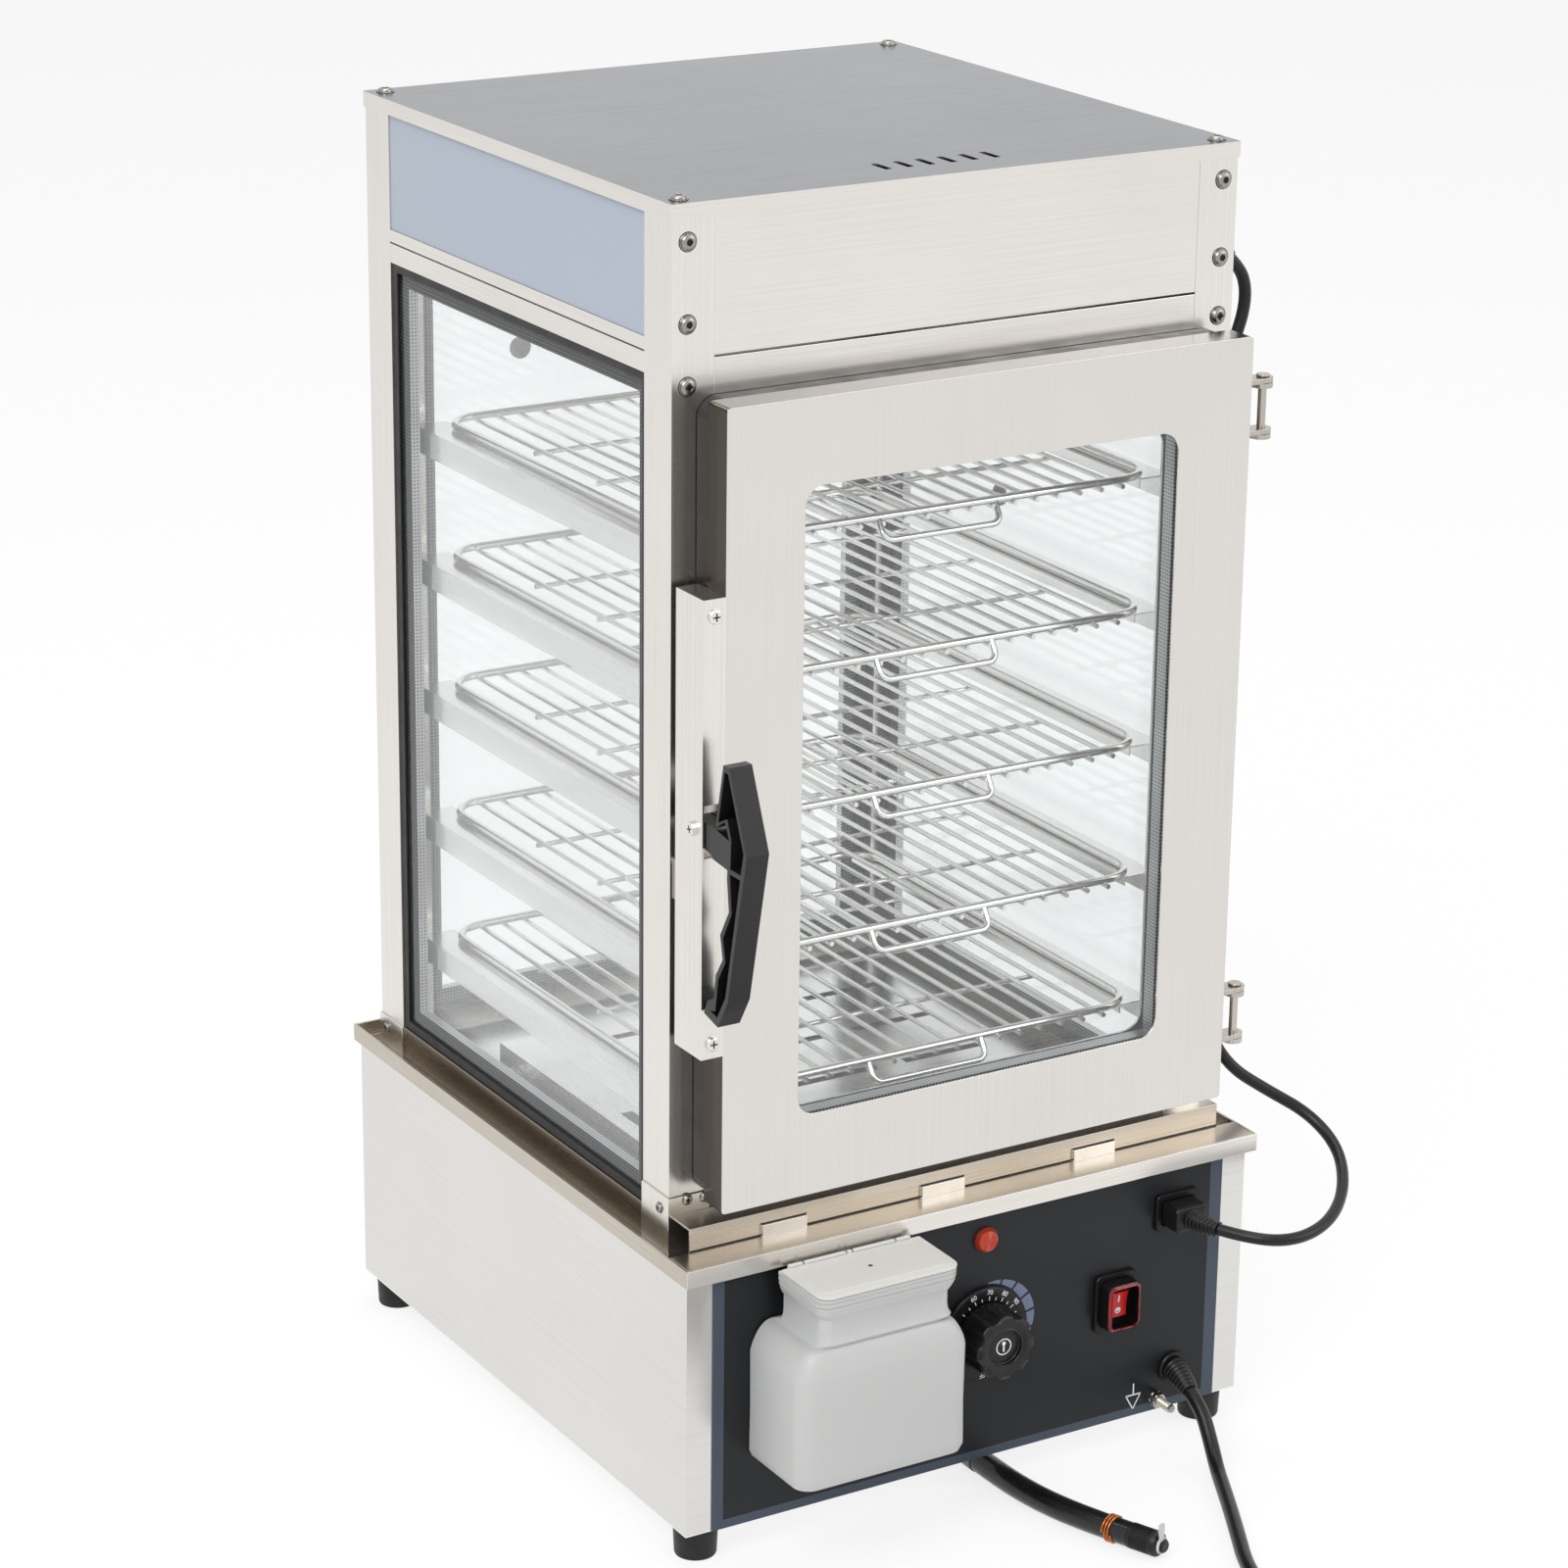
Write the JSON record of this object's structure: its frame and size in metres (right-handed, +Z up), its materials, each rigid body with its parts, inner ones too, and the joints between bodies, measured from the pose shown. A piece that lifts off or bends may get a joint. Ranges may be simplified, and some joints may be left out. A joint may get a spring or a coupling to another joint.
{
  "type": "heated food display cabinet",
  "caption": "Glass-sided steam warming cabinet with wire racks, hinged glazed door, lit top, water-tank base, filling bottle and drain hose.",
  "frame": {"origin": "on the floor under the middle of the cabinet, between its feet", "axes": "+X to the right seen from the front, -Y out of the door, +Z up"},
  "size_m": [0.4642, 0.7731, 0.7986],
  "materials": {
    "stainless": "satin",
    "polished_steel": "polished",
    "chrome_wire": "polished",
    "clear_glass": "gloss",
    "frosted_panel": "satin",
    "black_rubber": "matte",
    "grey_rubber": "matte",
    "black_plastic": "satin",
    "charcoal_print": "satin",
    "red_boot": "gloss",
    "red_lens": "gloss",
    "bottle_plastic": "satin",
    "clear_plastic": "gloss",
    "opal_tube": "satin",
    "copper": "polished"
  },
  "bodies": {
    "cabinet": {"base_floor": "stainless", "base_shell": "stainless", "cabinet_rails": "stainless", "chamber_glass": "clear_glass", "control_overlay": "charcoal_print", "cord_glands": "black_rubber", "corner_posts": "stainless", "corner_shoes": "stainless", "dial_plate": "black_plastic", "drain_fitting": "stainless", "drain_hose": "black_rubber", "earth_stud": "stainless", "fascia": "stainless", "feet": "black_rubber", "frame_screws": "stainless", "front_gutter": "stainless", "glass_gaskets": "black_rubber", "glass_spacers": "stainless", "heating_element": "stainless", "hinge_brackets": "stainless", "hose_clamp": "copper", "indicator_lamp": "red_lens", "latch_strike": "stainless", "light_panels": "frosted_panel", "light_tube": "opal_tube", "mains_coil": "black_rubber", "mains_cord": "black_rubber", "mains_plug": "black_rubber", "output_cord": "black_rubber", "output_plug": "black_rubber", "output_socket": "black_plastic", "rack_rails": "stainless", "rim_tray": "stainless", "switch_boot": "red_boot", "switch_housing": "black_plastic", "tank_cover": "stainless", "terminal_block": "black_plastic", "thermostat": "stainless", "top_cover": "stainless", "water_bottle": "bottle_plastic", "water_inlet": "stainless", "water_tank": "stainless", "wing_knob": "clear_plastic"},
    "door": {"door_pan": "polished_steel", "door_frame": "stainless", "door_panes": "clear_glass", "door_spacer": "stainless", "door_gasket": "grey_rubber", "door_hinge_lugs": "stainless", "latch_box": "stainless"},
    "lever": {"latch_lever": "black_plastic"},
    "knob": {"thermostat_knob": "black_plastic"},
    "rocker_body": {"rocker": "black_plastic"},
    "lid": {"bottle_lid": "bottle_plastic"},
    "hose_cap": {"drain_cap": "black_rubber"},
    "rack_body_1": {"rack_1": "chrome_wire"},
    "rack_body_2": {"rack_2": "chrome_wire"},
    "rack_body_3": {"rack_3": "chrome_wire"},
    "rack_body_4": {"rack_4": "chrome_wire"},
    "rack_body_5": {"rack_5": "chrome_wire"}
  },
  "joints": [
    {"name": "door_swing", "type": "hinge", "parent": "cabinet", "child": "door", "pos_m": [0.1935, -0.209, 0.46], "axis": [0, 0, 1], "range_deg": [0, 165]},
    {"name": "latch_lever_pull", "type": "hinge", "parent": "door", "child": "lever", "pos_m": [-0.17915, -0.21, 0.451], "axis": [-1, 0, 0], "range_deg": [0, 16], "stiffness_Nm_per_rad": 0.6},
    {"name": "knob_turn", "type": "hinge", "parent": "cabinet", "child": "knob", "pos_m": [0.0065, -0.24, 0.1035], "axis": [0, 1, 0], "range_deg": [0, 282]},
    {"name": "rocker_tip", "type": "hinge", "parent": "cabinet", "child": "rocker_body", "pos_m": [0.1015, -0.2231, 0.102], "axis": [1, 0, 0], "range_deg": [-14, 0]},
    {"name": "lid_lift", "type": "hinge", "parent": "cabinet", "child": "lid", "pos_m": [-0.0945, -0.2342, 0.1829], "axis": [-1, 0, 0], "range_deg": [0, 38]},
    {"name": "cap_pull", "type": "slide", "parent": "cabinet", "child": "hose_cap", "axis": [0.3638, -0.9314, 0.0116], "range_m": [0, 0.03]},
    {"name": "rack_1_slide", "type": "slide", "parent": "cabinet", "child": "rack_body_1", "axis": [0, -1, 0], "range_m": [0, 0.018]},
    {"name": "rack_2_slide", "type": "slide", "parent": "cabinet", "child": "rack_body_2", "axis": [0, -1, 0], "range_m": [0, 0.018]},
    {"name": "rack_3_slide", "type": "slide", "parent": "cabinet", "child": "rack_body_3", "axis": [0, -1, 0], "range_m": [0, 0.018]},
    {"name": "rack_4_slide", "type": "slide", "parent": "cabinet", "child": "rack_body_4", "axis": [0, -1, 0], "range_m": [0, 0.018]},
    {"name": "rack_5_slide", "type": "slide", "parent": "cabinet", "child": "rack_body_5", "axis": [0, -1, 0], "range_m": [0, 0.018]}
  ]
}
